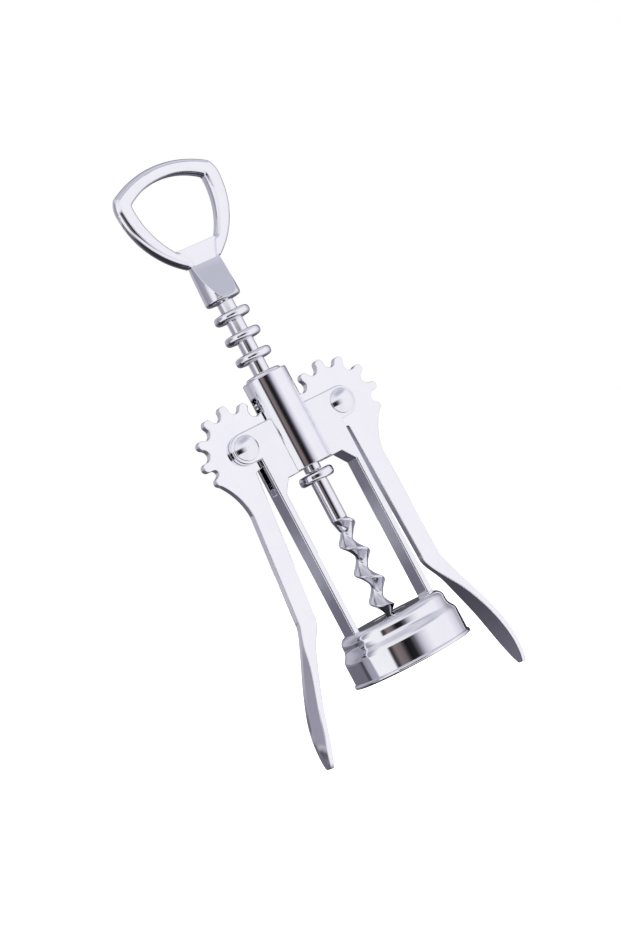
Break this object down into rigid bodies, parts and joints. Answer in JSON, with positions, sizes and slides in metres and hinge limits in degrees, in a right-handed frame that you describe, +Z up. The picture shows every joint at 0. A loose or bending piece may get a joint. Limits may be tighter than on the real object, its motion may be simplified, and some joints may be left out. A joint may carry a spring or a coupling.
{
  "type": "wing corkscrew",
  "caption": "Two-lever corkscrew: toothed wings raise a ringed shaft with a cutting worm out of a frame on a bell that sits on the bottle; loop handle doubles as a crown-cap lifter.",
  "frame": {"origin": "centre of the bell's rim, on the axis of the bottle bore, where the tool meets the bottle", "axes": "+Z up along the shaft towards the handle, X across the two levers, -Y towards the front face of the frame"},
  "size_m": [0.0843, 0.043, 0.2046],
  "materials": {
    "frame_chrome": "polished chrome over zinc die casting",
    "bell_chrome": "polished chrome over spun sheet steel",
    "insert_plastic": "black moulded plastic, fine satin",
    "shaft_steel": "polished chrome over turned steel",
    "worm_steel": "polished chrome over rolled steel screw",
    "handle_chrome": "polished chrome over zinc die casting",
    "lever_chrome": "polished chrome over zinc die casting",
    "rivet_steel": "polished chrome over headed steel"
  },
  "bodies": {
    "frame": {"frame_casting": "frame_chrome", "bell_cup": "bell_chrome", "bottle_insert": "insert_plastic", "left_rivet": "rivet_steel", "right_rivet": "rivet_steel"},
    "rack": {"rack_sleeve": "shaft_steel"},
    "turning_shaft": {"handle": "handle_chrome", "spindle": "shaft_steel", "shaft_collar": "shaft_steel", "worm": "worm_steel"},
    "left_wing": {"left_lever": "lever_chrome"},
    "right_wing": {"right_lever": "lever_chrome"}
  },
  "joints": [
    {"name": "shaft_slide", "type": "slide", "parent": "frame", "child": "rack", "axis": [0, 0, 1], "range_m": [-0.0384, 0]},
    {"name": "handle_turn", "type": "hinge", "parent": "rack", "child": "turning_shaft", "pos_m": [0, 0, 0.135], "axis": [0, 0, 1], "continuous": true},
    {"name": "left_lever_hinge", "type": "hinge", "parent": "frame", "child": "left_wing", "pos_m": [-0.02006, 0, 0.08765], "axis": [0, 1, 0], "range_deg": [0, 150.2]},
    {"name": "right_lever_hinge", "type": "hinge", "parent": "frame", "child": "right_wing", "pos_m": [0.02006, 0, 0.08765], "axis": [0, -1, 0], "range_deg": [0, 150.2]}
  ],
  "couplings": [
    {"joint": "left_lever_hinge", "follows": "shaft_slide", "rad_per_m": -68.166},
    {"joint": "right_lever_hinge", "follows": "shaft_slide", "rad_per_m": -68.166}
  ]
}
